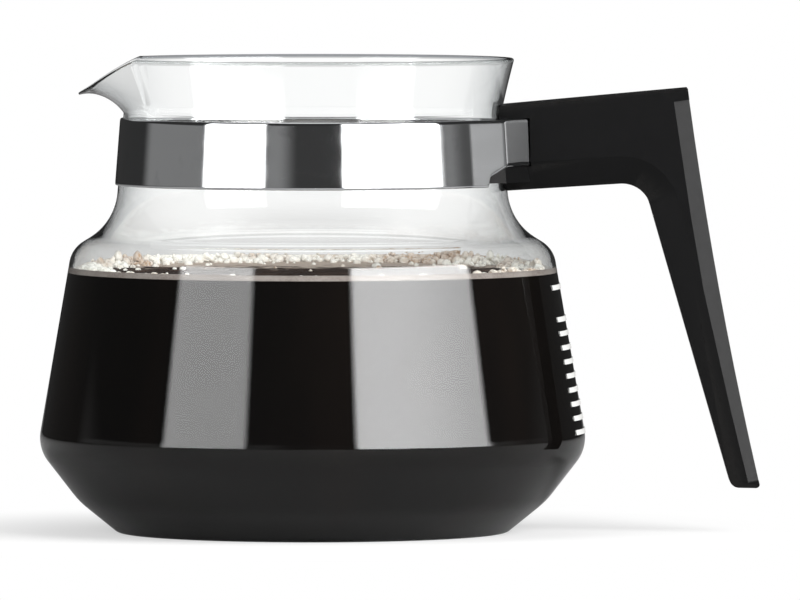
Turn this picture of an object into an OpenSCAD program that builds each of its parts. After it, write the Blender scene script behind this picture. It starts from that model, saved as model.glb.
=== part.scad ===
// Glass coffee server: a blown jug with a pulled spout, a steel neck band whose
// two ears are drawn together inside the nose of a moulded side handle.
// The jug's axis is Z, its base stands on Z = 0, the handle points along +X
// and the spout along -X.

/* [Jug] */
// Height from the base to the top of the rim, which carries the shoulder,
// the neck, the band and the handle's arm with it
jug_h = 146.1; // [140:0.1:165]
// Thickness of the glass
wall = 2.2; // [1.6:0.1:3]
// Radius at the foot corner of the flat base
foot_r = 60; // [54:0.5:64]
// Rounding of the foot corner
foot_round = 3; // [2.6:0.1:5]
// Radius of the lower cone where it steepens
bulge_r = 71.9; // [69:0.1:74]
// Height of the lower cone where it steepens
bulge_z = 9.6; // [8:0.1:12]
// Rounding between the two slopes of the lower cone
bulge_round = 26; // [10:1:30]
// Radius of the waist corner, before it is rounded
waist_r = 84.6; // [80:0.1:90]
// Height of the waist corner
waist_z = 26; // [22:0.5:30]
// Rounding of the waist
waist_round = 12; // [6:0.5:14]
// Radius of the shoulder corner, before it is rounded
shoulder_r = 74.1; // [72:0.1:78]
// Depth of the shoulder corner below the rim
shoulder_drop = 58.9; // [58:0.1:62]
// Rounding of the shoulder
shoulder_round = 9; // [5:0.5:10]
// Radius at the foot of the neck, before it is rounded
neck_r = 60.7; // [59:0.1:62]
// Depth of the corner at the foot of the neck below the rim
neck_drop = 50.6; // [49:0.1:52]
// Rounding at the foot of the neck
neck_round = 18; // [10:0.5:18]
// Radius of the throat, the narrowest place of the neck
throat_r = 58.1; // [57:0.1:59]
// Depth of the throat below the rim
throat_drop = 17.1; // [15:0.1:18]
// Outer radius of the rim
rim_r = 61.9; // [60:0.1:64]

/* [Spout] */
// Radius that the lip reaches at the tip of the spout
spout_r = 71.5; // [66:0.5:76]
// Depth of the under side of the spout's tip below the rim
spout_drop = 11.5; // [7:0.1:13]
// Half of the angle over which the rim is pulled out
spout_half_angle = 29; // [22:1:36]
// How sharply the pulled rim rises to its tip
spout_sharpness = 1.2; // [1:0.05:1.8]

/* [Neck band] */
// Depth of the band's lower edge below the rim
band_drop = 39.2; // [38.2:0.1:40.2]
// Width of the steel strip
band_w = 20.5; // [18:0.1:21]
// Thickness of the steel strip
band_t = 0.8; // [0.5:0.1:1]
// Angle from the handle at which the strip leaves the neck
band_leave_angle = 36; // [32:1:38]
// Outward crease of the strip where it leaves the neck
band_crease = 12; // [6:1:16]
// Length of the flat stretch that leaves the neck
band_flat = 14.8; // [13:0.1:16]
// Width of the ears, which are cut away from below
ear_w = 14.3; // [12.5:0.1:16]
// Distance of the place where the ears turn parallel, from the jug's axis
ear_turn_x = 70; // [69:0.1:72]
// Distance of the ears' ends from the jug's axis
ear_end_x = 82; // [81:0.1:86]
// Gap between the two parallel ears
ear_gap = 6; // [4:0.1:7]

/* [Handle] */
// Width of the handle
handle_w = 23; // [22:0.1:26]
// Distance of the arm's front face from the jug's axis, at its lower edge
arm_x = 61.3; // [61:0.1:63]
// Depth of the arm's lower edge at its front below the rim
arm_low_drop = 40.7; // [40:0.1:42]
// Depth of the arm's upper edge at its front below the rim
arm_top_drop = 14.3; // [12:0.1:15]
// Distance of the handle's upper back corner from the jug's axis
back_x = 115.2; // [110:0.5:125]
// Depth of the handle's upper back corner below the rim
back_drop = 9.4; // [4:0.1:12]
// Distance of the inner elbow from the jug's axis
elbow_x = 101.7; // [97:0.1:103]
// Depth of the inner elbow below the rim
elbow_drop = 38.2; // [36:0.1:39]
// Rounding of the inner elbow
elbow_round = 9; // [4:0.5:12]
// Distance of the grip's lower back corner from the jug's axis
tip_x = 137.6; // [134:0.5:145]
// Height of the grip's lower end
tip_z = 14; // [8:0.5:24]
// Depth of the grip at its lower end
tip_depth = 8.8; // [7:0.1:12]
// Rounding of the grip's lower end on its inner side
tip_round = 3; // [1:0.5:3.5]
// Hollow of the back edge, at its middle
back_bow = 1.5; // [0.8:0.1:2.5]
// Width of the bevel on the side that faces the fingers
bevel_w = 8.5; // [5:0.1:10]
// Depth of that bevel, on each side
bevel_d = 3; // [1:0.1:4]
// Width of the chamfer along the back edge, seen from the side
back_chamfer = 4.8; // [3:0.1:6]
// Depth of that chamfer across the handle
back_chamfer_d = 3.6; // [2:0.1:5]
// Height of the plain cap that is left above the chamfer
back_cap = 3.4; // [1:0.1:8]
// Height of the plain stop that is left below the chamfer
back_stop = 2.4; // [1:0.1:8]

/* [Clamp screw] */
// Diameter of the screw
screw_d = 4; // [3:0.5:4]
// Length of the screw under its head
screw_l = 12; // [11:0.5:13]
// Diameter of the screw's head
head_d = 8; // [7:0.1:8.5]
// Height of the screw's head
head_h = 2.6; // [2:0.1:3]
// Width of the nut across its flats
nut_af = 7; // [6:0.1:8]
// Thickness of the nut
nut_h = 3.2; // [2.4:0.1:3.4]
// Distance of the screw's axis from the jug's axis
screw_x = 76.5; // [75.5:0.1:77]

/* [Contents and marks] */
// Depth of the coffee's surface below the rim
coffee_drop = 66.3; // [65.3:0.2:105.3]
// Width of the ring of froth
froth_w = 3.4; // [2:0.1:6]
// Height of the ring of froth over the coffee
froth_h = 1.8; // [1:0.1:3]
// Number of bubbles in the froth
bubbles = 32; // [12:1:40]
// Radius of the largest bubble
bubble_r = 2; // [1.2:0.1:2.2]
// Depth of the uppermost level mark below the rim
top_mark_drop = 71; // [69:0.1:75]
// Height of the lowest mark of the row below it
low_mark_z = 30.8; // [30.6:0.1:32]
// Spacing of the marks of the row
mark_pitch = 4.32; // [3:0.01:5]
// Depth below the rim at which the row ends
row_end_drop = 80; // [78:0.5:112]
// Height of a mark's line
mark_h = 1.5; // [0.8:0.1:2]
// Thickness of the fired-on enamel
mark_t = 0.25; // [0.15:0.05:0.4]
// Half of the angle that a mark's line covers
mark_half_angle = 15; // [4:1:20]

/* [Hidden] */
$fn = 120;
// Overrun of every cut, past the face that it cuts through
over = 1;
// Clearance between pieces that rest against each other
seat = 0.15;
// Clearance between the strip and the slot that it slides into
slot_fit = 0.3;
// Clearance of the screw in the holes that it passes through
screw_fit = 0.2;
// Clearance between the screw's thread and the nut's
thread_fit = 0.05;
// Clearance of the head and the nut in their pockets
pocket_fit = 0.3;
// Largest turn between two points of a rounded corner
arc_turn = 5;
shoulder_z = jug_h - shoulder_drop;
neck_z = jug_h - neck_drop;
throat_z = jug_h - throat_drop;
spout_z = jug_h - spout_drop;
coffee_z = jug_h - coffee_drop;
handle_half = handle_w / 2;
band_z = jug_h - band_drop;
band_top_z = band_z + band_w;
ear_low_z = band_top_z - ear_w;
ear_y = ear_gap / 2;
// Distance of the head's and the nut's inner faces from the handle's mid plane
head_y = ear_y + band_t + seat;

// Plane geometry

function unit(v) = v / norm(v);

// A corner of radius r between three points, as a list of points. The rounding
// takes no more than a share of the shorter side.
side_share = 0.6;

function round_corner(before, at, after, r) =
    let (
        u = unit(before - at),
        v = unit(after - at),
        half = acos(u * v) / 2,
        side = min(norm(before - at), norm(after - at)),
        fitted = min(r, side_share * side * tan(half)),
        centre = at + unit(u + v) * fitted / sin(half),
        start = at + u * fitted / tan(half) - centre,
        finish = at + v * fitted / tan(half) - centre,
        first = atan2(start.y, start.x),
        sweep = (atan2(finish.y, finish.x) - first + 540) % 360 - 180,
        steps = max(1, ceil(abs(sweep) / arc_turn))
    )
    r == 0
        ? [at]
        : [for (i = [0:steps])
            let (a = first + sweep * i / steps)
            centre + fitted * [cos(a), sin(a)]];

function corner_xy(c) = [c.x, c.y];

// An open path through corners that are written as [x, y, radius]
function open_path(c) = [
    corner_xy(c[0]),
    for (i = [1:len(c) - 2])
        each round_corner(corner_xy(c[i - 1]), corner_xy(c[i]), corner_xy(c[i + 1]), c[i].z),
    corner_xy(c[len(c) - 1])
];

// A closed outline through corners that are written as [x, y, radius]
function closed_path(c) =
    let (n = len(c))
    [for (i = [0:n - 1])
        each round_corner(
            corner_xy(c[(i + n - 1) % n]), corner_xy(c[i]), corner_xy(c[(i + 1) % n]), c[i].z)];

// The same path, moved to its left by a distance
function left_of(path, distance) = [
    for (i = [0:len(path) - 1])
        let (
            ahead = path[min(i + 1, len(path) - 1)],
            behind = path[max(i - 1, 0)],
            along = unit(ahead - behind)
        )
        path[i] + distance * [-along.y, along.x]
];

// Height on the straight line through two points, at a distance from the axis
function line_z(a, b, x) = a.y + (b.y - a.y) * (x - a.x) / (b.x - a.x);

function bezier(p, t) =
    p[0] * (1 - t) ^ 3 + 3 * p[1] * t * (1 - t) ^ 2 + 3 * p[2] * t ^ 2 * (1 - t) + p[3] * t ^ 3;

// A solid between rings of points, each ring clockwise as seen from the last.
// Every face between two rings is split along its shorter diagonal.
module loft(rings) {
    n = len(rings[0]);
    last = n * (len(rings) - 1);
    points = [for (ring = rings) each ring];
    faces = concat(
        [[for (k = [n - 1:-1:0]) k]],
        [for (i = [0:n:last - n], k = [0:n - 1])
            let (a = i + k, b = i + (k + 1) % n)
            each norm(points[b] - points[a + n]) < norm(points[a] - points[b + n])
                ? [[a, b, a + n], [b, b + n, a + n]]
                : [[a, b, b + n], [a, b + n, a + n]]],
        [[for (k = [0:n - 1]) last + k]]
    );
    polyhedron(points, faces, convexity = 6);
}

// Jug

body_path = open_path([
    [0, 0, 0],
    [foot_r, 0, foot_round],
    [bulge_r, bulge_z, bulge_round],
    [waist_r, waist_z, waist_round],
    [shoulder_r, shoulder_z, shoulder_round],
    [neck_r, neck_z, neck_round],
    [throat_r, throat_z, 0]
]);

// Outer radius of the plain neck at a height
function neck_r_at(z) = neck_r + (throat_r - neck_r) * (z - neck_z) / (throat_z - neck_z);

// Outer radius of the body's long cone at a height
function body_r_at(z) =
    waist_r + (shoulder_r - waist_r) * (z - waist_z) / (shoulder_z - waist_z);

// The wall between the outer path and one that runs inside it, up to the throat
function shell_outline(depth) =
    let (inner = left_of(body_path, depth))
    concat(
        body_path,
        [[throat_r - depth, throat_z]],
        [for (i = [len(body_path) - 2:-1:0]) inner[i]]
    );

// The space inside the jug, with a clearance from the glass
function inner_outline(gap) = concat(
    [for (p = left_of(body_path, wall + gap)) if (p.y <= throat_z - over) p],
    [[0, throat_z - over]]
);

// The lip grows out of the middle of the throat's wall. Round the spout its
// outer curve is drawn from the plain flare over to the pulled one.
lip_row_count = 8;
lip_column_count = 120;
lip_edge_count = 4;
lip_centre_share = 0.5;
// Step from the throat's wall in to the lip's, on either side
lip_root = 0.1;
// Places of a tongue inside a wall, as shares of the wall's thickness
tongue_shares = [1 / 3, 2 / 3];
flare_pull_shares = [[0.21, 0.24], [0.61, 0.65]];
spout_pull_shares = [[0.12, 0.48], [0.55, 1.3]];
throat = [throat_r, throat_z];
flare_end = [rim_r, jug_h - wall / 2];
spout_end = [spout_r, spout_z];

function pulled(from, to, share) =
    [from.x + (to.x - from.x) * share.x, from.y + (to.y - from.y) * share.y];

function lip_curve(end, shares) =
    let (root = throat - [lip_root, 0])
    [root, pulled(root, end, shares[0]), pulled(root, end, shares[1]), end];

// How far the rim is pulled out, from 0 to 1, at an angle from the spout
function pull_at(angle) =
    abs(angle) >= spout_half_angle
        ? 0
        : cos(90 * angle / spout_half_angle) ^ spout_sharpness;

// Points are closer together near the spout than on the rest of the rim
function lip_angle(i) =
    let (t = 2 * i / lip_column_count - 1)
    180 * (lip_centre_share * t + (1 - lip_centre_share) * t ^ 3);

function lip_outer(angle) = [
    for (k = [0:lip_row_count])
        let (t = k / lip_row_count, w = pull_at(angle))
        bezier(lip_curve(flare_end, flare_pull_shares), t) * (1 - w)
            + bezier(lip_curve(spout_end, spout_pull_shares), t) * w
];

// The section of the lip at an angle: up outside, over the edge, down inside
function lip_section(angle) =
    let (
        outer = lip_outer(angle),
        inner = left_of(outer, wall),
        last = outer[lip_row_count],
        edge = (last + inner[lip_row_count]) / 2,
        arm = last - edge
    )
    concat(
        [throat - [tongue_shares[0] * wall, over]],
        outer,
        [for (k = [1:lip_edge_count - 1])
            let (a = 180 * k / lip_edge_count)
            edge + [arm.x * cos(a) - arm.y * sin(a), arm.x * sin(a) + arm.y * cos(a)]],
        [for (k = [lip_row_count:-1:1]) inner[k]],
        [throat - [wall - lip_root, 0], throat - [tongue_shares[1] * wall, over]]
    );

module lip() {
    ring = len(lip_section(0));
    points = [
        for (i = [0:lip_column_count - 1])
            for (p = lip_section(lip_angle(i)))
                let (a = 180 + lip_angle(i))
                [p.x * cos(a), p.x * sin(a), p.y]
    ];
    faces = [
        for (i = [0:lip_column_count - 1], k = [0:ring - 1])
            let (
                here = i * ring,
                next = (i + 1) % lip_column_count * ring,
                up = (k + 1) % ring
            )
            each [
                [here + k, here + up, next + k],
                [here + up, next + up, next + k]
            ]
    ];
    polyhedron(points, faces, convexity = 6);
}

module glass_jug() {
    color([0.86, 0.92, 0.93, 0.35]) {
        rotate_extrude() polygon(shell_outline(wall));
        lip();
    }
}

// The room that the handle and the band leave round the glass
module neck_room(gap) {
    wide = flare_end + [gap, 0];
    rotate_extrude()
        polygon([
            [0, neck_z],
            [neck_r_at(neck_z) + gap, neck_z],
            [throat_r + gap, throat_z],
            wide + [0, wall],
            [0, wide.y + wall]
        ]);
}

// Neck band

band_low_r = neck_r_at(band_z) + seat;
band_top_r = neck_r_at(band_top_z) + seat;
// Step from the ring's faces out to the strip's, at the crease, and the
// distance of the crease from the ring's end
crease_step = 0.1;
crease_lead = band_t / 2;
// Rows over which the strip twists from the slope of the neck to upright
twist_row_count = 4;

// Each place along the strip's free end is written as [x, y, x, y]: a point of
// its lower and of its upper edge, a distance off the face that lies inwards.
function flat_point(r, along, off) =
    let (a = band_leave_angle, b = band_leave_angle + band_crease)
    r * [cos(a), sin(a)] + off * [cos(b), sin(b)] + along * [sin(b), -cos(b)];

// Direction across the strip half way through a bend between two stretches
function across(before, at, after, off) =
    let (
        u = unit(at - before),
        v = unit(after - at),
        n = unit([-u.y - v.y, u.x + v.x])
    )
    at + n * off / (n * [-u.y, u.x]);

function strip_edge(r, off) =
    let (
        crease_r = r + crease_step,
        crease = flat_point(crease_r, crease_lead, 0),
        bend = flat_point(crease_r, band_flat, 0),
        turn = [ear_turn_x, ear_y],
        end = [ear_end_x, ear_y],
        first = across(crease, bend, turn, off),
        last = across(bend, turn, end, off)
    )
    [
        flat_point(crease_r, crease_lead, off),
        for (k = [0:twist_row_count]) first + (last - first) * k / twist_row_count,
        end + [0, off]
    ];

// A place inside the ring's wall, from which the strip grows
function tongue_point(r, share) =
    let (a = band_leave_angle + atan(band_t / r))
    (r + share * band_t) * [cos(a), sin(a)];

// The free end of the strip on the +Y side, with its thickness grown on both
// faces and its width grown on both edges
module strip_end(grow = 0, width_grow = 0) {
    function side(r, i, off) = concat([tongue_point(r, tongue_shares[i])], strip_edge(r, off));
    low = [side(band_low_r, 0, -grow), side(band_low_r, 1, band_t + grow)];
    top = [side(band_top_r, 0, -grow), side(band_top_r, 1, band_t + grow)];
    loft([
        for (i = [0:len(low[0]) - 1])
            let (rise = i == 0 ? -crease_step : width_grow)
            [
                [low[0][i].x, low[0][i].y, band_z - rise],
                [top[0][i].x, top[0][i].y, band_top_z + rise],
                [top[1][i].x, top[1][i].y, band_top_z + rise],
                [low[1][i].x, low[1][i].y, band_z - rise]
            ]
    ]);
}

// The strip is cut away below the ears along a rounded step
notch_share = 0.45;
notch_x = flat_point(band_low_r, notch_share * band_flat, 0).x;
notch_round = 2 * band_t;
ear_round = 4 * band_t;

module ear_notch() {
    bend_x = flat_point(band_low_r, band_flat, 0).x;
    rotate([90, 0, 0])
        linear_extrude(height = 2 * notch_x, center = true)
            polygon(closed_path([
                [notch_x, band_z - over, 0],
                [notch_x + band_t, (band_z + ear_low_z) / 2, notch_round],
                [bend_x, ear_low_z, ear_round],
                [ear_end_x + over, ear_low_z, 0],
                [ear_end_x + over, band_z - over, 0]
            ]));
}

module both_sides() {
    children();
    mirror([0, 1, 0]) children();
}

// A round bar along Y, from one place across the handle to another
module cross_bar(r, from_y, to_y) {
    translate([screw_x, from_y, (ear_low_z + band_top_z) / 2])
        rotate([-90, 0, 0])
            cylinder(r = r, h = to_y - from_y);
}

module neck_band() {
    color([0.72, 0.73, 0.74])
        difference() {
            union() {
                rotate([0, 0, band_leave_angle])
                    rotate_extrude(angle = 360 - 2 * band_leave_angle)
                        polygon([
                            [band_low_r, band_z],
                            [band_low_r + band_t, band_z],
                            [band_top_r + band_t, band_top_z],
                            [band_top_r, band_top_z]
                        ]);
                both_sides() strip_end();
            }
            ear_notch();
            cross_bar(screw_d / 2 + screw_fit, -handle_half, handle_half);
        }
}

// Handle

back_top = [back_x, jug_h - back_drop];
back_low = [tip_x, tip_z];
arm_low_front = [arm_x, jug_h - arm_low_drop];
arm_top_front = [arm_x, jug_h - arm_top_drop];
elbow = [elbow_x, jug_h - elbow_drop];
tip_inner = [tip_x - tip_depth, tip_z];
// The arm is drawn past the glass and trimmed to it afterwards
arm_root_x = throat_r - handle_half;
tip_back_share = 0.4;

side_outline = closed_path([
    [arm_root_x, line_z(arm_top_front, back_top, arm_root_x), 0],
    [back_top.x, back_top.y, 0],
    [back_low.x, back_low.y, tip_back_share * tip_round],
    [tip_inner.x, tip_inner.y, tip_round],
    [elbow.x, elbow.y, elbow_round],
    [arm_root_x, line_z(arm_low_front, elbow, arm_root_x), 0]
]);

// The room right of and above the line of the arm's lower edge and the grip's
// inner edge, moved into the handle by a depth and rounded about one centre
function finger_outline(depth) =
    let (
        reach = norm(back_top - back_low),
        to_front = unit(arm_low_front - elbow),
        to_tip = unit(tip_inner - elbow),
        half = acos(to_front * to_tip) / 2,
        up = [to_front.y, -to_front.x],
        out = [-to_tip.y, to_tip.x],
        bend = elbow - unit(to_front + to_tip) * depth / sin(half),
        front = elbow + reach * to_front + depth * up,
        low = elbow + reach * to_tip + depth * out,
        far = elbow + reach * (up + out)
    )
    closed_path([
        [front.x, front.y, 0],
        [bend.x, bend.y, elbow_round + depth],
        [low.x, low.y, 0],
        [low.x + reach * out.x, low.y + reach * out.y, 0],
        [far.x, far.y, 0],
        [front.x + reach * up.x, front.y + reach * up.y, 0]
    ]);

// A block that is bevelled on both flanks along the edge towards the fingers.
// Its faces pass the handle's own, so that only the bevels cut.
module finger_block() {
    spare = over * bevel_w / bevel_d;
    depths = [bevel_w + spare, -spare, -spare, bevel_w + spare];
    inner_y = handle_half - bevel_d - over;
    outer_y = handle_half + over;
    flanks = [-outer_y, -inner_y, inner_y, outer_y];
    loft([
        for (i = [0:3])
            [for (p = finger_outline(depths[i])) [p.x, flanks[i], p.y]]
    ]);
}

// The back edge is a long shallow arc round a centre behind the handle. The
// cutter takes the hollow away, and the chamfers between the cap and the stop.
module back_cutter() {
    chord = back_low - back_top;
    half = norm(chord) / 2;
    radius = (half ^ 2 + back_bow ^ 2) / (2 * back_bow);
    outward = [-chord.y, chord.x] / norm(chord);
    centre = (back_top + back_low) / 2 + outward * (radius - back_bow);
    facing = atan2(-outward.y, -outward.x);
    reach_angle = asin((half + over) / radius);
    cap_angle = asin((half - back_cap) / radius);
    stop_angle = asin((half - back_stop) / radius);
    turns = 24;
    translate([centre.x, 0, centre.y])
        rotate([90, 0, 0]) {
            rotate([0, 0, facing - reach_angle])
                rotate_extrude(angle = 2 * reach_angle, $fn = turns * 180 / reach_angle)
                    translate([radius - back_bow - over, -handle_half - over])
                        square([back_bow + over, handle_w + 2 * over]);
            rotate([0, 0, facing - cap_angle])
                rotate_extrude(angle = cap_angle + stop_angle, $fn = turns * 180 / cap_angle)
                    both_flanks()
                        polygon([
                            [radius - over, handle_half - back_chamfer_d],
                            [radius, handle_half - back_chamfer_d],
                            [radius + back_chamfer, handle_half],
                            [radius + back_chamfer, handle_half + over],
                            [radius - over, handle_half + over]
                        ]);
        }
}

module both_flanks() {
    children();
    mirror([0, 1]) children();
}

// The strip's edge up to the ear, and its mirror image in reverse order
function wedge_outline(r) =
    let (last = 1 + twist_row_count, side = strip_edge(r, -seat))
    concat(
        [for (i = [0:last]) side[i]],
        [for (i = [last:-1:0]) [side[i].x, -side[i].y]]
    );

// The saddle fills the wedge between the glass and the two flat stretches of
// the strip, so that the strip presses it against the neck. It stops short of
// the strip's lower edge.
saddle_lift = 1.2;
saddle_low_z = band_z + saddle_lift;
saddle_top_z = band_top_z - seat;

module saddle() {
    intersection() {
        loft([
            [for (p = wedge_outline(band_low_r)) [p.x, p.y, band_z]],
            [for (p = wedge_outline(band_top_r)) [p.x, p.y, band_top_z]]
        ]);
        translate([notch_x, -notch_x, saddle_low_z])
            cube([notch_x, 2 * notch_x, saddle_top_z - saddle_low_z]);
    }
}

module handle() {
    slot_low_z = ear_low_z - slot_fit;
    slot_top_z = band_top_z + slot_fit;
    slot_half = ear_y + band_t + slot_fit;
    color([0.1, 0.1, 0.1])
        difference() {
            union() {
                intersection() {
                    rotate([90, 0, 0])
                        linear_extrude(height = handle_w, center = true)
                            polygon(side_outline);
                    finger_block();
                }
                saddle();
            }
            back_cutter();
            neck_room(seat);
            intersection() {
                both_sides() strip_end(slot_fit, slot_fit);
                translate([0, -ear_end_x, slot_low_z])
                    cube([ear_end_x + slot_fit, 2 * ear_end_x, slot_top_z - slot_low_z]);
            }
            translate([ear_turn_x, -slot_half, slot_low_z])
                cube([ear_end_x + slot_fit - ear_turn_x, 2 * slot_half, slot_top_z - slot_low_z]);
            cross_bar(head_d / 2 + pocket_fit, ear_y, handle_half + over);
            cross_bar(screw_d / 2 + screw_fit, head_y - screw_l - over, ear_y);
            nut_bar(nut_af + 2 * pocket_fit, -head_y - nut_h - pocket_fit, -ear_y);
        }
}

// Clamp screw and nut

slot_share = 0.32;

module nut_bar(af, from_y, to_y) {
    translate([screw_x, from_y, (ear_low_z + band_top_z) / 2])
        rotate([-90, 0, 0])
            cylinder(r = af / 2 / cos(30), h = to_y - from_y, $fn = 6);
}

module clamp_screw() {
    slot_w = slot_share * head_h;
    color([0.6, 0.61, 0.62])
        difference() {
            union() {
                cross_bar(screw_d / 2 - thread_fit, head_y - screw_l, head_y);
                cross_bar(head_d / 2, head_y, head_y + head_h);
            }
            translate([
                screw_x - slot_w / 2,
                head_y + head_h / 2,
                (ear_low_z + band_top_z) / 2 - head_d
            ])
                cube([slot_w, head_h, 2 * head_d]);
        }
}

module clamp_nut() {
    color([0.6, 0.61, 0.62])
        difference() {
            nut_bar(nut_af, -head_y - nut_h, -head_y);
            cross_bar(screw_d / 2 + thread_fit, -handle_half, handle_half);
        }
}

// Level marks

mark_heights = concat(
    [for (z = [low_mark_z:mark_pitch:jug_h - row_end_drop]) z],
    [jug_h - top_mark_drop]
);

module level_marks() {
    color([0.94, 0.94, 0.92])
        for (z = mark_heights)
            rotate([0, 0, -mark_half_angle])
                rotate_extrude(angle = 2 * mark_half_angle)
                    polygon([
                        [body_r_at(z) + thread_fit, z],
                        [body_r_at(z) + thread_fit + mark_t, z],
                        [body_r_at(z + mark_h) + thread_fit + mark_t, z + mark_h],
                        [body_r_at(z + mark_h) + thread_fit, z + mark_h]
                    ]);
}

// Contents

module coffee() {
    color([0.07, 0.045, 0.035])
        intersection() {
            rotate_extrude() polygon(inner_outline(seat));
            cylinder(r = waist_r, h = coffee_z);
        }
}

// Bubbles gather on a ring along the glass, larger and smaller in turn
golden_angle = 137.508;
bubble_size_shares = [1, 0.62, 0.8, 0.5, 0.72];
bubble_ring_share = 0.45;

module coffee_froth() {
    edge_r = body_r_at(coffee_z) - wall - seat - froth_h / 2;
    color([0.72, 0.6, 0.46])
        difference() {
            union() {
                rotate_extrude()
                    polygon(closed_path([
                        [edge_r - froth_w, coffee_z + seat, 0],
                        [edge_r, coffee_z + seat, 0],
                        [edge_r, coffee_z + froth_h, froth_h / 2],
                        [edge_r - froth_w, coffee_z + froth_h / 2, froth_h / 4]
                    ]));
                for (i = [0:bubbles - 1]) {
                    r = bubble_r * bubble_size_shares[i % len(bubble_size_shares)];
                    rotate([0, 0, i * golden_angle])
                        translate([
                            edge_r - froth_w + bubble_ring_share * froth_w,
                            0,
                            coffee_z + froth_h / 2
                        ])
                            sphere(r = r, $fn = 8);
                }
            }
            cylinder(r = waist_r, h = coffee_z + seat);
        }
}

glass_jug();
neck_band();
handle();
clamp_screw();
clamp_nut();
level_marks();
coffee();
coffee_froth();
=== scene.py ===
import math
import random

import bmesh
import bpy
from mathutils import Matrix, Vector
from mathutils.geometry import interpolate_bezier


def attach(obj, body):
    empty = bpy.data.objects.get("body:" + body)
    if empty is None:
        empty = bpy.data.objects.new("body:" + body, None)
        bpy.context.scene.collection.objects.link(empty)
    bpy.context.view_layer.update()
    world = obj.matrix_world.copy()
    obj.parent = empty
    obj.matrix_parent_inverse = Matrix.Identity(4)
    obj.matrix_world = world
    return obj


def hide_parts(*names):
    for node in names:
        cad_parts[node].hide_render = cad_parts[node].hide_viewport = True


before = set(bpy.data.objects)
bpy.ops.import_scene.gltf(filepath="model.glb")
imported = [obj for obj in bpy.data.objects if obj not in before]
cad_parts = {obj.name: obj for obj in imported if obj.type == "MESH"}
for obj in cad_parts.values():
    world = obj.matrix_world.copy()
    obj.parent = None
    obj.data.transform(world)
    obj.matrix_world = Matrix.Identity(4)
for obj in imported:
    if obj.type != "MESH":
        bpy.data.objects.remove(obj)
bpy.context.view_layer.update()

MM = 0.001


# Shader values and nodes


class Wire:
    """One output of a shader node. Maths on it adds Math nodes."""

    def __init__(self, graph, socket):
        self.graph, self.socket = graph, socket

    def maths(self, operation, *values):
        return self.graph.node("Math", {"operation": operation}, dict(enumerate(values)))

    def __add__(self, other):
        return self.maths("ADD", self, other)

    def __sub__(self, other):
        return self.maths("SUBTRACT", self, other)

    def __rsub__(self, other):
        return self.maths("SUBTRACT", other, self)

    def __mul__(self, other):
        return self.maths("MULTIPLY", self, other)

    def __lt__(self, other):
        return self.maths("LESS_THAN", self, other)

    __radd__ = __add__
    __rmul__ = __mul__

    def larger(self, other):
        return self.maths("MAXIMUM", self, other)

    def ramp(self, low, high, start=0.0, end=1.0):
        """Runs smoothly from start to end while the value goes from low to high."""
        limits = {"From Min": low, "From Max": high, "To Min": start, "To Max": end}
        return self.graph.node(
            "MapRange", {"interpolation_type": "SMOOTHSTEP"}, {"Value": self, **limits}
        )


class Graph:
    """The nodes of a material or of the world."""

    def __init__(self, owner):
        owner.use_nodes = True
        self.tree = owner.node_tree
        self.tree.nodes.clear()

    def node(self, kind, settings=None, inputs=None, output=0):
        """Adds a node, sets it, then fills its sockets with values or links."""
        made = self.tree.nodes.new("ShaderNode" + kind)
        for name, value in (settings or {}).items():
            setattr(made, name, value)
        for name, value in (inputs or {}).items():
            socket = self.socket(made, name)
            if isinstance(value, Wire):
                self.tree.links.new(value.socket, socket)
            elif isinstance(value, tuple) and len(value) < len(socket.default_value):
                socket.default_value = (*value, 1.0)
            else:
                socket.default_value = value
        if isinstance(output, str):
            found = [s for s in made.outputs if s.name == output and s.enabled]
            return Wire(self, found[0])
        return Wire(self, made.outputs[output])

    def socket(self, made, name):
        """An input by its number or its name, where only one of several may be in use."""
        if isinstance(name, int):
            return made.inputs[name]
        return [s for s in made.inputs if s.name == name and s.enabled][0]

    def mixed(self, share, first, second):
        """A shader that goes from the first to the second with the share."""
        return self.node("MixShader", None, {0: share, 1: first, 2: second})

    def end(self, shader, kind="Material"):
        last = self.tree.nodes.new("ShaderNodeOutput" + kind)
        self.tree.links.new(shader.socket, last.inputs["Surface"])

    def place(self, stretch=None):
        """The point in the object's own coordinates, which may be stretched."""
        point = self.node("TexCoord", output="Object")
        if stretch is None:
            return point
        return self.node("Mapping", None, {"Vector": point, "Scale": stretch})

    def parts(self, vector):
        """The x, y and z of a vector."""
        split = self.node("SeparateXYZ", None, {0: vector}).socket.node
        return [Wire(self, output) for output in split.outputs]

    def noise(self, scale, detail, roughness=0.55, stretch=None):
        sizes = {"Scale": scale, "Detail": detail, "Roughness": roughness}
        return self.node("TexNoise", None, {"Vector": self.place(stretch), **sizes})

    def cells(self, scale):
        """The distance from the middle of the nearest cell."""
        where = {"Vector": self.place(), "Scale": scale}
        return self.node("TexVoronoi", {"feature": "F1"}, where, "Distance")

    def facing(self):
        """From 0 where a face looks at the eye to 1 where it is seen edge-on."""
        return self.node("LayerWeight", None, {"Blend": 0.5}, output="Facing")

    def blend(self, share, first, second):
        """A colour that goes from the first to the second with the share."""
        ends = {"Factor": share, "A": first, "B": second}
        return self.node("Mix", {"data_type": "RGBA"}, ends, output="Result")

    def bump(self, height, distance, strength=1.0):
        sizes = {"Height": height, "Distance": distance, "Strength": strength}
        return self.node("Bump", None, sizes)

    def ray(self, name):
        """What Cycles knows of the ray that meets the surface."""
        return self.node("LightPath", output=name)


def finish(name, **sockets):
    """A new material's graph, and a function that ends it in one shader."""
    material = bpy.data.materials.new(name)
    graph = Graph(material)

    def close(**linked):
        values = {key.replace("_", " "): value for key, value in {**sockets, **linked}.items()}
        shader = graph.node("BsdfPrincipled", None, values)
        graph.end(shader)
        return material

    return graph, close


# Finishes

# Places and bump heights are in metres, and a noise's scale is by the metre
GLASS_IOR = 1.47
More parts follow.
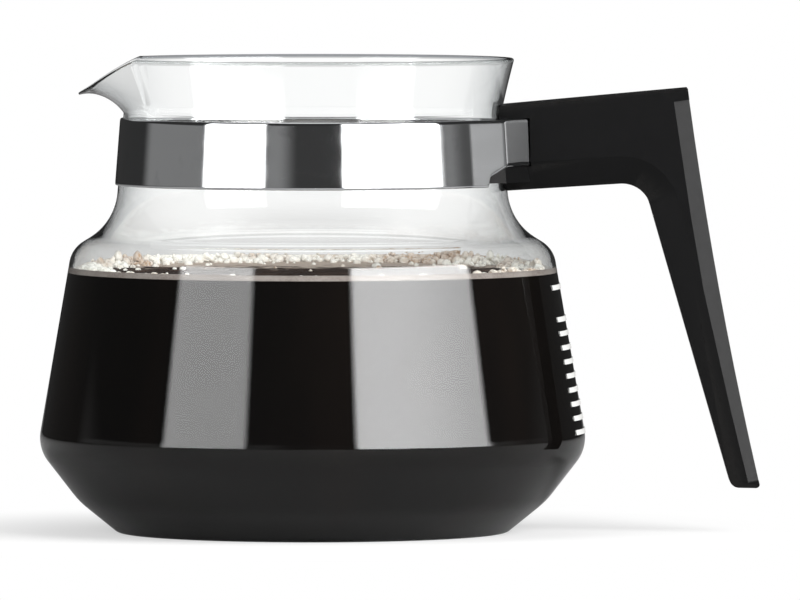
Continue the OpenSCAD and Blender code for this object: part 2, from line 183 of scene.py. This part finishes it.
# The rim's bead starts between these heights
RIM_BEAD = 0.1446, 0.1452


def clear_glass():
    """Clear, with painted shade darkening it edge-on. The rim's bead has painted shade at the back
    and is faint in front.
    """
    material = bpy.data.materials.new("clear_glass")
    graph = Graph(material)
    plain, edge_painted_shade, bead_painted_shade = (0.99, 0.995, 0.993), (0.84, 0.87, 0.88), (0.42, 0.44, 0.46)
    _, y, z = graph.parts(graph.place())
    bead = z.ramp(*RIM_BEAD)
    # Painted shade: the rim's bead is given a dark colour at the back only
    back = bead * y.ramp(-0.01, 0.03)
    front = bead * y.ramp(-0.03, 0.02, 0.65, 0.0)
    # Painted shade: the glass's colour darkens where it is seen edge-on, which draws dark outlines
    tint = graph.blend(graph.facing().ramp(0.25, 1.0), plain, edge_painted_shade)
    smears = graph.noise(30, detail=2).ramp(0.45, 0.72, 0.0, 0.02)
    sockets = {
        "Base Color": graph.blend(back, tint, bead_painted_shade),
        "Roughness": smears,
        "Normal": graph.bump(graph.noise(13, detail=1), 0.0001),
        "IOR": GLASS_IOR,
        "Transmission Weight": 1.0,
    }
    glass = graph.node("BsdfPrincipled", None, sockets)
    clear = graph.node("BsdfTransparent", None, {"Color": (0.93, 0.95, 0.95)})
    # What lights a matt surface goes straight through, and most of what passes the bead in front
    straight = graph.ray("Is Shadow Ray").larger(graph.ray("Is Diffuse Ray")).larger(front)
    graph.end(graph.mixed(straight, glass, clear))
    return material


def coffee_in_glass():
    """Where the coffee wets the glass nothing shines but the glass itself."""
    graph, close = finish("coffee_in_glass", Roughness=0.6, Specular_IOR_Level=0.0)
    streaks = graph.noise(26, detail=3, stretch=(1.0, 1.0, 0.15)).ramp(0.4, 0.8)
    return close(Base_Color=graph.blend(streaks, (0.0034, 0.003, 0.0028), (0.0065, 0.0048, 0.004)))


def coffee_surface():
    """Still coffee with a film of oils, dull edge-on, and with a pale skin of foam at the back."""
    graph, close = finish("coffee_surface", Roughness=0.1, Specular_IOR_Level=0.0)
    oils = graph.noise(90, detail=5).ramp(0.5, 0.72)
    _, y, _ = graph.parts(graph.place())
    ragged = y + graph.noise(220, detail=3) * 0.09
    colour = graph.blend(oils, (0.026, 0.015, 0.011), (0.09, 0.05, 0.034))
    return close(
        Base_Color=graph.blend(ragged.ramp(0.062, 0.09), colour, (0.50, 0.42, 0.36)),
        Coat_Weight=graph.facing().ramp(0.6, 0.85, 0.5, 0.0),
        Normal=graph.bump(graph.noise(60, detail=2), 0.0001),
    )


def foam_line():
    """The thin line of foam that the coffee leaves where it meets the glass."""
    graph, close = finish("foam_line", Roughness=0.5, Specular_IOR_Level=0.2)
    patch = graph.noise(60, detail=3).ramp(0.35, 0.7)
    speck = graph.cells(1500).ramp(0.1, 0.7)
    foam = graph.blend(patch, (0.25, 0.22, 0.20), (0.14, 0.11, 0.095))
    return close(Base_Color=graph.blend(speck * 0.4, foam, (0.32, 0.29, 0.27)))


def froth_bubbles():
    """Wet cream bubbles, with tan patches that shine more."""
    graph, close = finish("froth_bubbles", IOR=1.34, Roughness=0.15, Coat_Roughness=0.05)
    patch = graph.noise(42, detail=2).ramp(0.46, 0.66)
    speck = graph.cells(900).ramp(0.1, 0.7)
    cream = graph.blend(patch, (0.90, 0.86, 0.78), (0.44, 0.29, 0.18))
    return close(
        Base_Color=graph.blend(speck * 0.35, cream, (0.97, 0.95, 0.92)),
        Coat_Weight=patch * 0.2 + 0.1,
        Normal=graph.bump(speck, 0.0002),
    )


def rolled_steel():
    """Bright strip whose grain runs along it, with dull marks of handling."""
    graph, close = finish("rolled_steel", Metallic=1.0)
    grain = graph.noise(260, detail=5, stretch=(0.04, 0.04, 1.0))
    marks = graph.noise(70, detail=6, roughness=0.7).ramp(0.55, 0.8)
    return close(
        Base_Color=graph.blend(marks, (0.70, 0.71, 0.72), (0.55, 0.56, 0.57)),
        Roughness=grain.ramp(0.3, 0.7, 0.05, 0.075) + marks * 0.01,
        Normal=graph.bump(grain, 0.00002, 0.1),
    )


def plated_steel():
    """Zinc plate with its crystals, worn dull in places."""
    graph, close = finish("plated_steel", Metallic=1.0)
    bloom = graph.cells(700).ramp(0.0, 0.8)
    worn = graph.noise(300, detail=4).ramp(0.5, 0.75)
    return close(
        Base_Color=graph.blend(bloom, (0.60, 0.61, 0.60), (0.72, 0.72, 0.70)),
        Roughness=worn * 0.25 + 0.18,
        Normal=graph.bump(worn, 0.00004, 0.5),
    )


def moulded_plastic():
    """Black plastic with a fine grain, smoother along its edges from wear, and paler there, partly
    from wear and partly a painted highlight.
    """
    graph, close = finish("moulded_plastic", IOR=1.5, Specular_IOR_Level=0.12)
    grain = graph.noise(2600, detail=3)
    flow = graph.noise(14, detail=2).ramp(0.3, 0.8)
    # Painted highlight, partly wear: edges are made paler by their pointiness, and the same mask
    # makes them smoother
    edge_highlight_and_wear = graph.node("NewGeometry", output="Pointiness").ramp(0.53, 0.6)
    dull = graph.noise(400, detail=4).ramp(0.4, 0.7)
    black = graph.blend(flow, (0.0052, 0.0052, 0.0054), (0.0062, 0.006, 0.006))
    return close(
        Base_Color=graph.blend(edge_highlight_and_wear * 0.15, black, (0.04, 0.038, 0.036)),
        Roughness=dull * 0.03 + 0.3 - edge_highlight_and_wear * 0.05,
        Normal=graph.bump(grain, 0.00004, 0.5),
    )


def fired_enamel():
    """White lines, thin in places."""
    graph, close = finish("fired_enamel", Roughness=0.25)
    thin = graph.noise(1400, detail=4).ramp(0.55, 0.85)
    return close(
        Base_Color=graph.blend(thin, (0.90, 0.90, 0.88), (0.55, 0.55, 0.54)),
        Normal=graph.bump(thin, 0.00003, 0.5),
    )


# Forms, in mm until they become a mesh

# Points nearer than this are one
SAME_POINT = 0.001
# A step of an arc turns by so many degrees at most
ARC_TURN = 4


def piece(name, mesh, materials, slot, *replaced):
    """A finished piece of the jug, which stays with its one body."""
    made = bpy.data.objects.new(name, mesh)
    bpy.context.scene.collection.objects.link(made)
    for material in materials:
        mesh.materials.append(material)
    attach(made, "root")
    if replaced:
        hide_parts(*replaced)
    return made


def mesh_of(bm, name, sharp=None):
    """The bmesh as a mesh, smooth but for the edges that turn more than sharp degrees."""
    for face in bm.faces:
        face.smooth = True
    if sharp is not None:
        for edge in bm.edges:
            edge.smooth = edge.calc_face_angle(0.0) < math.radians(sharp)
    mesh = bpy.data.meshes.new(name)
    bm.to_mesh(mesh)
    bm.free()
    return mesh


def polar(radius, angle):
    """A point in a plane by its distance from the middle and its angle in radians."""
    return Vector((radius * math.cos(angle), radius * math.sin(angle)))


def rounded(corners, count=0):
    """An open path through corners written as (x, y, radius). A count sets each arc's steps."""
    points = [Vector(corners[0][:2])]
    for before, corner, after in zip(corners, corners[1:], corners[2:]):
        here, radius = Vector(corner[:2]), corner[2]
        back = (Vector(before[:2]) - here).normalized()
        onward = (Vector(after[:2]) - here).normalized()
        half = back.angle(onward) / 2
        centre = here + (back + onward).normalized() * radius / math.sin(half)
        start = here + back * radius / math.tan(half) - centre
        end = here + onward * radius / math.tan(half) - centre
        first = math.atan2(start.y, start.x)
        sweep = (math.atan2(end.y, end.x) - first + 3 * math.pi) % (2 * math.pi) - math.pi
        steps = count or max(1, math.ceil(abs(math.degrees(sweep)) / ARC_TURN))
        points += [centre + polar(radius, first + sweep * k / steps) for k in range(steps + 1)]
    points.append(Vector(corners[-1][:2]))
    return points


def moved_left(path, distance, thinned=False):
    """The path moved to its left, and by less where it slopes if its wall is thinned."""
    made = []
    for i, point in enumerate(path):
        along = (path[min(i + 1, len(path) - 1)] - path[max(i - 1, 0)]).normalized()
        share = 1
        # Above the coffee the glass is blown thinner, the more it slopes
        if thinned and point.y > COFFEE_LEVEL:
            share = (abs(along.y) + math.sqrt(GLASS_IOR ** 2 - along.x ** 2)) / (1 + GLASS_IOR)
        made.append(point + distance * share * Vector((-along.y, along.x)))
    return made


def spun(outline, steps):
    """A closed bmesh turned from an outline, whose points keep their number."""
    bm = bmesh.new()
    number = bm.verts.layers.int.new("number")
    line = []
    for i, point in enumerate(outline):
        vert = bm.verts.new((point.x * MM, 0, point.y * MM))
        vert[number] = i
        line.append(vert)
    edges = [bm.edges.new(pair) for pair in zip(line, line[1:])]
    bmesh.ops.spin(
        bm, geom=line + edges, cent=(0, 0, 0), axis=(0, 0, 1), dvec=(0, 0, 0),
        angle=2 * math.pi, steps=steps, use_merge=True, use_duplicate=False,
    )
    bmesh.ops.remove_doubles(bm, verts=bm.verts[:], dist=SAME_POINT * MM)
    bmesh.ops.recalc_face_normals(bm, faces=bm.faces[:])
    return bm, number


# The jug's own sizes, in mm, with places as (distance from the axis, height)

WALL = 1.45
COFFEE_LEVEL = 79.8
FOOT, HEEL = Vector((60, 0)), Vector((71.9, 9.6))
BULGE, SHOULDER = Vector((84.6, 26)), Vector((74.1, 87.2))
NECK, THROAT = Vector((60.7, 95.5)), Vector((58.1, 129))
BODY = rounded([
    (0, 0, 0), (*FOOT, 3), (*HEEL, 26), (*BULGE, 12), (*SHOULDER, 9), (*NECK, 18), (*THROAT, 0),
])
# The lip's two curves: where they end, and their handles as shares of the way from the throat
FLARE_END, FLARE_SHARES = Vector((61.9, 145.0)), ((0.21, 0.24), (0.61, 0.65))
SPOUT_END, SPOUT_SHARES = Vector((71.5, 134.6)), ((0.12, 0.48), (0.55, 1.3))
# The spout's half width in degrees, and how narrow its beak is
SPOUT_HALF, SPOUT_SHARPNESS = 29, 1.2
JUG_STEPS, LIP_STEPS, EDGE_STEPS = 256, 18, 8


def lip_curve(end, shares):
    """The outer face of the lip, from the throat up to its edge."""
    span = end - THROAT
    handles = [THROAT + Vector((span.x * out, span.y * up)) for out, up in shares]
    return interpolate_bezier(THROAT, *handles, end, LIP_STEPS + 1)[1:]


def lip_section(pull):
    """Up the outer face, over the fire-polished edge and down the inner face."""
    pairs = zip(lip_curve(FLARE_END, FLARE_SHARES), lip_curve(SPOUT_END, SPOUT_SHARES))
    outer = [Vector(flare.lerp(spout, pull)[:2]) for flare, spout in pairs]
    inner = moved_left([THROAT] + outer, WALL, True)[1:]
    middle = (outer[-1] + inner[-1]) / 2
    arm = outer[-1] - middle
    turns = [math.pi * k / EDGE_STEPS for k in range(1, EDGE_STEPS)]
    edge = [middle + Matrix.Rotation(turn, 2) @ arm for turn in turns]
    return outer + edge + inner[::-1]


def blown_jug():
    """Spun whole, and then its lip is pulled out to the spout."""
    lip = lip_section(0)
    bm, number = spun(BODY + lip + moved_left(BODY, WALL, True)[::-1], JUG_STEPS)
    sections = {}
    for vert in bm.verts:
        across, height = math.hypot(vert.co.x, vert.co.y) / MM, vert.co.z / MM
        # The poles stay on the axis
        if across < 1:
            continue
        # Columns stand closer together round the spout
        share = math.atan2(-vert.co.y, -vert.co.x) / math.pi
        angle = 180 * (0.5 * share + 0.5 * share ** 3)
        place = vert[number] - len(BODY)
        if 0 <= place < len(lip) and abs(angle) < SPOUT_HALF:
            pull = math.cos(math.radians(90 * angle / SPOUT_HALF)) ** SPOUT_SHARPNESS
            key = round(pull, 6)
            if key not in sections:
                sections[key] = lip_section(pull)
            across, height = sections[key][place]
        vert.co = Vector((*polar(across, math.pi + math.radians(angle)), height)) * MM
    return mesh_of(bm, "jug")


# The coffee's own sizes, in mm

COFFEE_STEPS = 192
# How far the coffee reaches into the wall, climbs it, and how soon the climb dies away
LAP, CLIMB, CLIMB_REACH = 0.2, 1.7, 1.0
# The side follows the glass's outline up to this far below the level
SIDE_DROP = 2
# The rows of points on the climb, the step between them, and the rows on the level middle
CLIMB_ROWS, ROW_STEP, LEVEL_ROWS = 24, 0.25, 8
# The top starts this far below the level, steep where its normal rises by less than this
TOP_DROP, STEEP = 0.1, 0.3
# From this radius the surface is cream
CREAM_RADIUS = 69.6
# The coffee's materials, by their place in its list
SURFACE, FOAM, CREAM = 1, 2, 3


def black_coffee():
    """Fills the jug into its wall by a hair, and climbs the glass in a meniscus."""
    wall = moved_left(BODY, WALL - LAP)
    side = [point for point in wall if point.y < COFFEE_LEVEL - SIDE_DROP]
    slope = (SHOULDER - BULGE) / (SHOULDER.y - BULGE.y)
    foot = side[-1] + (COFFEE_LEVEL - side[-1].y) * slope
    edge = foot + CLIMB * slope
    top = []
    for k in range(1, CLIMB_ROWS + 1):
        inward = ROW_STEP * k
        rise = CLIMB * math.exp((LAP - inward) / CLIMB_REACH)
        top.append(Vector((edge.x - inward, COFFEE_LEVEL + rise)))
    middle_rows = [Vector((top[-1].x * k / LEVEL_ROWS, COFFEE_LEVEL)) for k in range(LEVEL_ROWS)]
    bm, _ = spun(side + [foot, edge] + top + middle_rows[::-1], COFFEE_STEPS)
    for face in bm.faces:
        middle = face.calc_center_median() / MM
        if middle.z < COFFEE_LEVEL - TOP_DROP:
            continue
        if face.normal.z < STEEP:
            face.material_index = FOAM
        elif math.hypot(middle.x, middle.y) > CREAM_RADIUS:
            face.material_index = CREAM
        else:
            face.material_index = SURFACE
    return mesh_of(bm, "coffee")


# The froth's own sizes, in mm

FROTH_RADIUS = 71.7
BUBBLES = 0.45, 0.6, 0.8, 1.0, 1.4
# Bubbles smaller than this need fewer faces
FINE_BUBBLE = 0.9
SEED, BATCHES, TRIES = 7, 30, 80
# The chance that a try makes a bubble where there is no crowd
STRAY = 0.03
# How high bubbles are drawn up the glass or heaped, and how soon either dies away inwards
DRAWN_UP, DRAWN_REACH = 1.3, 1.7
HEAPED, HEAP_REACH = 2.4, 1.2
# The share of those at the back that are adrift, and by how much on average
ADRIFT, DRIFT = 0.15, 8
# The cluster in front: its middle and width in radians
CLUSTER_AT, CLUSTER_WIDTH = -0.59, 0.13
# Bubbles are a little flat, start this far above the level and are cut open this far below it
FLATNESS, STAND, CUT = 0.8, 0.1, 0.5


def crowding(angle):
    """How thick the bubbles are: in patches at the back, and in a cluster in front."""
    patches = 0.6 + 0.4 * math.sin(3 * angle + 1.0) * math.sin(5 * angle)
    back = patches * (0.5 + 0.5 * math.sin(angle)) ** 0.7
    cluster = math.exp(-((angle - CLUSTER_AT) / CLUSTER_WIDTH) ** 2)
    return max(back, cluster)


def add_bubble(batch, chance):
    """One bubble against the glass or, at the back, one that may be adrift."""
    angle = chance.uniform(-math.pi, math.pi)
    crowd = crowding(angle)
    if chance.random() > STRAY + (1 - STRAY) * crowd:
        return
    size = chance.choice(BUBBLES) * chance.uniform(0.8, 1.2)
    inset = abs(chance.gauss(0, 1.2 + 2.2 * crowd))
    if chance.random() < ADRIFT and angle > 0.3:
        inset = chance.expovariate(1 / DRIFT)
    heap = chance.uniform(0, HEAPED) * math.exp(-inset / HEAP_REACH) * (0.2 + crowd)
    lift = STAND + DRAWN_UP * math.exp(-(size + inset) / DRAWN_REACH) + heap
    where = Vector((*polar(FROTH_RADIUS - size - inset, angle), COFFEE_LEVEL + lift))
    bmesh.ops.create_icosphere(
        batch, subdivisions=1 if size < FINE_BUBBLE else 2, radius=size * MM,
        matrix=Matrix.Translation(where * MM) @ Matrix.Diagonal((1, 1, FLATNESS, 1)),
    )


def froth():
    """Bubbles on the coffee, cut open a little under its surface."""
    chance = random.Random(SEED)
    kept = bmesh.new()
    # Batches are quicker to build than one large bmesh
    for _ in range(BATCHES):
        batch = bmesh.new()
        for _ in range(TRIES):
            add_bubble(batch, chance)
        low = [vert for vert in batch.verts if vert.co.z < (COFFEE_LEVEL - CUT) * MM]
        bmesh.ops.delete(batch, geom=low, context="VERTS")
        part = mesh_of(batch, "batch")
        kept.from_mesh(part)
        bpy.data.meshes.remove(part)
    return mesh_of(kept, "froth")


# The strip's own sizes, in mm

BAND_LOW, BAND_TOP, BAND_THICK, BAND_GAP = 106.9, 127.4, 0.8, 0.15
# How far the rolled edges reach across and up, and the row of points that holds them
ROLL_ACROSS, ROLL_UP, ROLL_END = 0.3, 0.8, 1.2
# Where the strip leaves the neck, the way of the tab that follows, and the tab's length
LEAVES, TAB_WAY, TAB = math.radians(36), math.radians(48), 14.8
# The ears, as (along the handle, half the gap between them)
EAR_BEND, EAR_END = (70, 3), (82, 3)
# The radii of the bends from the neck to the ear
LEAVE_RADIUS, TAB_RADIUS, EAR_RADIUS = 6, 5, 4
# The lower edge, as (along the handle, height, radius)
LOWER_EDGE = rounded([
    (0, BAND_LOW, 0), (53.6, BAND_LOW, 0.3), (54.26, 110.0, 1.6), (59.5, 113.1, 3.2), (83, 113.1, 0),
])
RING_STEPS, BEND_STEPS = 96, 6
# Past this place along the handle the strip has sections closer together
FINE_FROM, FINE_STEP = 50, 0.4


def strip_line(height):
    """The strip's inner face in plan, from under the spout to the end of an ear."""
    up = (height - NECK.y) / (THROAT.y - NECK.y)
    radius = NECK.lerp(THROAT, up).x + BAND_GAP
    turns = [math.pi + (LEAVES - math.pi) * k / RING_STEPS for k in range(RING_STEPS + 1)]
    ring = [polar(radius, turn) for turn in turns]
    bend = ring[-1] + TAB * Vector((math.sin(TAB_WAY), -math.cos(TAB_WAY)))
    bends = [
        (*ring[-2], 0), (*ring[-1], LEAVE_RADIUS), (*bend, TAB_RADIUS),
        (*EAR_BEND, EAR_RADIUS), (*EAR_END, 0),
    ]
    return ring[:-2] + rounded(bends, count=BEND_STEPS)


def lower_edge(along):
    """The height of the strip's lower edge, which steps up over the handle's nose."""
    for start, end in zip(LOWER_EDGE, LOWER_EDGE[1:]):
        if along < end.x:
            share = max(0, along - start.x) / (end.x - start.x)
            return start.y + (end.y - start.y) * share
    return LOWER_EDGE[-1].y


def strip_section(height):
    """Across the strip, as (depth, height), with rolled edges."""
    made = []
    for quarter in range(4):
        corner = polar(1, math.radians(90 * quarter + 45))
        depth = BAND_THICK / 2 + math.copysign(BAND_THICK / 2 - ROLL_ACROSS, corner.x)
        up = ROLL_UP if corner.y < 0 else height - ROLL_UP
        for degrees in range(0, 91, 30):
            arm = polar(1, math.radians(90 * quarter + degrees))
            made.append((depth + ROLL_ACROSS * arm.x, up + ROLL_UP * arm.y))
        if quarter == 1:
            made += [(0, height - ROLL_END), (0, ROLL_END)]
        if quarter == 3:
            made += [(BAND_THICK, ROLL_END), (BAND_THICK, height - ROLL_END)]
    return made


def strip_way():
    """Pairs of points along the strip's lower and upper inner edge, from ear to ear."""
    pairs = list(zip(strip_line(BAND_LOW), strip_line(BAND_TOP)))
    half = [pairs[0]]
    for (low, top), (next_low, next_top) in zip(pairs, pairs[1:]):
        count = math.ceil((next_low - low).length / FINE_STEP) if next_low.x > FINE_FROM else 1
        for share in [k / count for k in range(1, count + 1)]:
            half.append((low.lerp(next_low, share), top.lerp(next_top, share)))
    flip = Matrix(((1, 0), (0, -1)))
    return [(flip @ low, flip @ top) for low, top in half[:0:-1]] + half


def steel_strip():
    """The strip's section, extruded along its way."""
    way = strip_way()
    outward = moved_left([low for low, _ in way], 1)
    bm = bmesh.new()
    number = bm.verts.layers.int.new("number")
    edges = []
    for (low, top), out in zip(way, outward):
        foot = lower_edge(low.x)
        places = []
        for depth, up in strip_section(BAND_TOP - foot):
            share = (foot + up - BAND_LOW) / (BAND_TOP - BAND_LOW)
            plan = low.lerp(top, share) + (out - low) * depth
            places.append(Vector((*plan, foot + up)) * MM)
        if edges:
            made = bmesh.ops.extrude_edge_only(bm, edges=edges)["geom"]
            edges = [e for e in made if isinstance(e, bmesh.types.BMEdge) and e.is_boundary]
            # A new point has the number of the one that it came from
            for vert in made:
                if isinstance(vert, bmesh.types.BMVert):
                    vert.co = places[vert[number]]
        else:
            ring = [bm.verts.new(place) for place in places]
            for i, vert in enumerate(ring):
                vert[number] = i
            edges = [bm.edges.new(pair) for pair in zip(ring, ring[1:] + ring[:1])]
    bmesh.ops.holes_fill(bm, edges=[e for e in bm.edges if e.is_boundary], sides=0)
    bmesh.ops.recalc_face_normals(bm, faces=bm.faces[:])
    return mesh_of(bm, "strip", sharp=50)


# The handle's own sizes, in mm and degrees

# Edges that turn by more than the first are eased by the second
EASED_FROM, EASE, EASE_STEPS = 12, 0.5, 3
# Faces that turn by no more than this many degrees become one
FLAT_TURN = 0.5


def eased_copy(node):
    """A CAD node's shape with its sharp edges rounded off."""
    bm = bmesh.new()
    bm.from_mesh(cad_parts[node].data)
    bmesh.ops.remove_doubles(bm, verts=bm.verts[:], dist=SAME_POINT * MM)
    bmesh.ops.dissolve_limit(
        bm, angle_limit=math.radians(FLAT_TURN), verts=bm.verts[:], edges=bm.edges[:]
    )
    turn = math.radians(EASED_FROM)
    edges = [e for e in bm.edges if e.is_manifold and e.calc_face_angle(0.0) > turn]
    bmesh.ops.bevel(
        bm, geom=edges, offset=EASE * MM, offset_type="OFFSET", segments=EASE_STEPS,
        profile=0.5, affect="EDGES", clamp_overlap=True, material=-1,
    )
    return mesh_of(bm, node, sharp=45)


# Assembly

piece("glass_body", blown_jug(), [clear_glass()], "clear_glass", "glass_jug")
bubbles = froth_bubbles()
coffee_finishes = [coffee_in_glass(), coffee_surface(), foam_line(), bubbles]
piece("coffee_fill", black_coffee(), coffee_finishes, "black_coffee", "coffee")
piece("froth_ring", froth(), [bubbles], "froth", "coffee_froth")
handle = piece(
    "handle_moulding", eased_copy("handle"), [moulded_plastic()], "black_plastic", "handle"
)
flat_faces = handle.modifiers.new("flat_faces", "WEIGHTED_NORMAL")
flat_faces.keep_sharp = True
piece("band_strip", steel_strip(), [rolled_steel()], "bright_steel", "neck_band")

plate = plated_steel()
for node, material in (
    ("clamp_screw", plate), ("clamp_nut", plate), ("level_marks", fired_enamel())
):
    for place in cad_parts[node].material_slots:
        place.material = material


# Studio

# Upright windows: from, to and softness in degrees of turn, light, the share of it that is left
# far round to the right, and height in degrees
WINDOWS = (
    (-115, -66, 5, 0.26, 1.0, 7),
    (-66, -28.5, 2, 8.2, 1.0, 23.5),
    (-28.5, -14, 6, 0.28, 1.0, 11),
    (-14, 18, 4, 0.02, 1.0, 11),
    (19.2, 80.9, 2.2, 17.0, 0.62, 23.5),
    (81, 83.5, 2.5, 1.35, 1.0, 7),
    (81, 97, 10, 0.29, 1.0, 7),
    (104, 125, 10, 0.12, 1.0, 7),
)
# The tall windows fade at their top over more degrees than the low ones
TALL, TALL_FADE, LOW_FADE = 20, 3, 1.5
DARK_ROOM = 0.046


def studio_light(graph):
    """What a glossy surface sees, by the turn from the camera's side and the rise."""
    x, y, z = graph.parts(graph.node("TexCoord", output="Generated"))
    turn = x.maths("ARCTAN2", x, 0 - y) * math.degrees(1)
    rise = z.maths("ARCSINE", z) * math.degrees(1)
    level = DARK_ROOM
    for start, stop, soft, light, left, height in WINDOWS:
        fade = TALL_FADE if height > TALL else LOW_FADE
        across = turn.ramp(start - soft, start + soft) * turn.ramp(stop - soft, stop + soft, 1, 0)
        upwards = rise.ramp(height - fade, height + fade, 1.0, 0.0)
        level = level + across * upwards * light * turn.ramp(40, 90, 1.0, left)
    behind = turn.maths("ABSOLUTE").ramp(112, 140) * rise.ramp(12, 24) * 0.9
    ceiling = rise.ramp(50, 62, 0.0, 1.1)
    return level.larger(behind) + ceiling, rise


# Levels of the room: low and high through glass, for rays mirrored inside the glass, for those
# mirrored over the rim, and on matt surfaces
THROUGH_LOW, THROUGH_HIGH, INSIDE_GLASS, OVER_RIM, ON_MATT = 1.22, 0.9, 0.7, 0.4, 0.45


def light_world():
    """White to the camera, nearly so through glass, windows in a dark room to what shines."""
    world = bpy.data.worlds.new("studio")
    bpy.context.scene.world = world
    graph = Graph(world)
    world.cycles.sampling_method = "NONE"
    studio, rise = studio_light(graph)
    seen = graph.ray("Is Camera Ray")
    unbent = graph.ray("Glossy Depth") < 0.5
    early = graph.ray("Diffuse Depth") < 0.5
    glossy = graph.ray("Is Glossy Ray") * early
    clear = graph.ray("Is Transmission Ray") * early
    # The far wall's inner face mirrors the room over the rim, without the windows
    passed_wall = 1 - (graph.ray("Transmission Depth") < 1.5)
    over_rim = glossy * passed_wall * (1 - graph.ray("Is Transmission Ray"))
    windows = (glossy - over_rim) * studio
    through = clear * unbent * rise.ramp(32, 50, THROUGH_LOW, THROUGH_HIGH)
    inside = clear * (1 - unbent) * INSIDE_GLASS
    matt = (1 - seen.larger(glossy).larger(clear)) * ON_MATT
    strength = seen + through + inside + windows + over_rim * OVER_RIM + matt
    graph.end(graph.node("Background", None, {"Strength": strength}), "World")


# The floor's half width in metres
FLOOR_HALF = 14
# The paper's light through glass, near and far, and as the camera sees it
NEAR_LIGHT, FAR_LIGHT, PLAIN_LIGHT = 0.78, 1.06, 1.0


def light_floor():
    """Pale paper, white away from the jug, and with painted shade in what the jug mirrors of it."""
    bm = bmesh.new()
    bmesh.ops.create_grid(bm, x_segments=1, y_segments=1, size=FLOOR_HALF)
    material = bpy.data.materials.new("floor_paper")
    graph = Graph(material)
    far = graph.node("VectorMath", {"operation": "LENGTH"}, {0: graph.place()}, output="Value")
    unbent = graph.ray("Glossy Depth") < 0.5
    open_view = graph.ray("Is Camera Ray").larger(graph.ray("Is Transmission Ray") * unbent)
    # Painted shade: the paper has a darker colour for mirrored rays, darker still far away
    mirrored = graph.blend(far.ramp(0.4, 3.0), (0.37, 0.37, 0.37), (0.07, 0.07, 0.07))
    tone = graph.blend(open_view, mirrored, (0.86, 0.86, 0.86))
    matt = {"Base Color": tone, "Roughness": 1.0, "Specular IOR Level": 0.0}
    paper = graph.node("BsdfPrincipled", None, matt)
    near, distant, plain = [
        graph.node("Emission", None, {"Strength": light})
        for light in (NEAR_LIGHT, FAR_LIGHT, PLAIN_LIGHT)
    ]
    through = graph.mixed(far.ramp(2.4, 3.4), near, distant)
    white = graph.mixed(graph.ray("Is Transmission Ray"), plain, through)
    graph.end(graph.mixed(open_view * far.ramp(0.07, 0.16, 0.5, 1.0), paper, white))
    mesh = bpy.data.meshes.new("floor")
    bm.to_mesh(mesh)
    bm.free()
    mesh.materials.append(material)
    floor = bpy.data.objects.new("floor", mesh)
    bpy.context.scene.collection.objects.link(floor)


# Lamps are this high, and stand this far from a point above the base and this many degrees up
LAMP_HEIGHT, LAMP_DISTANCE, LAMP_AIM, LAMP_RISE = 1.3, 1.6, Vector((0, 0, 0.08)), 28


def softbox(name, azimuth, width, watts):
    """A lamp that lights matt surfaces only; the world shows its reflection."""
    data = bpy.data.lights.new(name, "AREA")
    data.shape, data.size, data.size_y, data.energy = "RECTANGLE", width, LAMP_HEIGHT, watts
    lamp = bpy.data.objects.new(name, data)
    bpy.context.scene.collection.objects.link(lamp)
    outwards, up = polar(1, math.radians(LAMP_RISE))
    front, right = polar(outwards, math.radians(azimuth))
    way = Vector((right, -front, up))
    lamp.location = way * LAMP_DISTANCE + LAMP_AIM
    lamp.rotation_euler = way.to_track_quat("Z", "Y").to_euler()
    lamp.visible_camera = lamp.visible_glossy = lamp.visible_transmission = False


# The picture has this many pixels across, and this many to a millimetre at the jug's axis
PICTURE_WIDTH, PICTURE_SCALE = 800, 3.25
# The camera's distance in front and its height, and the point that it looks at, in metres
CAMERA_AWAY, CAMERA_HEIGHT, CAMERA_AIM = 4.2, 0.232, Vector((0.0269, 0, 0.0714))


def place_camera():
    """A long lens from above the rim's height, square to the handle's plane."""
    data = bpy.data.cameras.new("camera")
    data.sensor_width = 36
    camera = bpy.data.objects.new("camera", data)
    bpy.context.scene.collection.objects.link(camera)
    camera.location = Vector((CAMERA_AIM.x, -CAMERA_AWAY, CAMERA_HEIGHT))
    way = camera.location - CAMERA_AIM
    data.lens = data.sensor_width * way.length / (PICTURE_WIDTH / PICTURE_SCALE * MM)
    camera.rotation_euler = way.to_track_quat("Z", "Y").to_euler()
    bpy.context.scene.camera = camera


light_world()
light_floor()
softbox("softbox_right", 50, 1.2, 42)
softbox("softbox_left", -48, 0.8, 15)
place_camera()
bpy.context.scene.view_settings.view_transform = "Standard"
